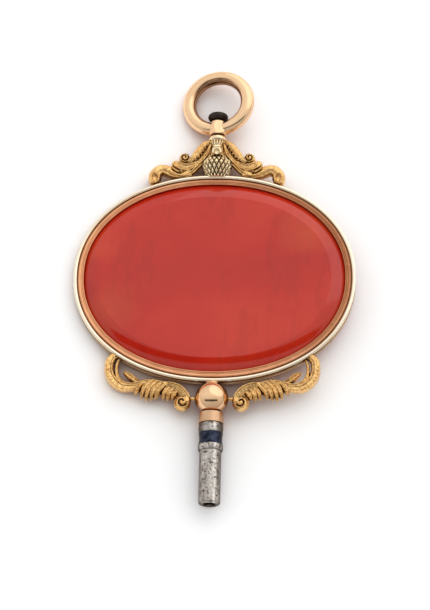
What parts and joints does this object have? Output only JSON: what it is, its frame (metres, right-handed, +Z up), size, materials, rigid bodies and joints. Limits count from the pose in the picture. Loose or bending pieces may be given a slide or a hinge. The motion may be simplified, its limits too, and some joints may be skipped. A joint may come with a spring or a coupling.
{
  "type": "watch key",
  "caption": "Fob watch key: a carnelian plate in an oval gold frame with chased scrolls, a turning hanging ring and a steel barrel with a square socket.",
  "frame": {"origin": "on the surface under the key, at the middle of its overall length and width", "axes": "+Z up out of the front face, +Y from the barrel towards the hanging ring, +X to the right seen from the front"},
  "size_m": [0.0419, 0.069, 0.005],
  "materials": {
    "ring_gold": "worn polish, rose gold",
    "pale_gold": "bright polish, pale gold",
    "rose_gold": "satin, rose gold",
    "chased_gold": "chased and matted yellow gold with dark recesses",
    "carnelian": "polished, faintly translucent orange red",
    "worn_steel": "worn and pitted",
    "blued_steel": "heat blued, satin",
    "dark_steel": "dark oxidised steel"
  },
  "bodies": {
    "root": {"pivot_pin": "dark_steel", "crown_collar": "pale_gold", "crown_stem": "chased_gold", "crown_leaf_front": "chased_gold", "crown_leaf_back": "chased_gold", "scaled_boss": "chased_gold", "crown_scroll_left": "chased_gold", "crown_scroll_right": "chased_gold", "lower_scroll_left": "chased_gold", "lower_scroll_right": "chased_gold", "frame_band": "rose_gold", "front_bezel": "rose_gold", "back_bezel": "rose_gold", "front_rim_wire": "pale_gold", "back_rim_wire": "pale_gold", "carnelian": "carnelian", "ball_saddle": "rose_gold", "ball_upper_half": "rose_gold", "ball_lower_half": "rose_gold", "ferrule": "rose_gold", "steel_collar": "worn_steel", "key_barrel": "worn_steel", "tang_washer": "worn_steel", "blued_band": "blued_steel"},
    "ring": {"ring_hub": "ring_gold", "suspension_ring": "ring_gold"}
  },
  "joints": [
    {"name": "ring_swivel", "type": "hinge", "parent": "root", "child": "ring", "pos_m": [0, 0.02498, 0.0025], "axis": [0, 1, 0], "continuous": true}
  ]
}
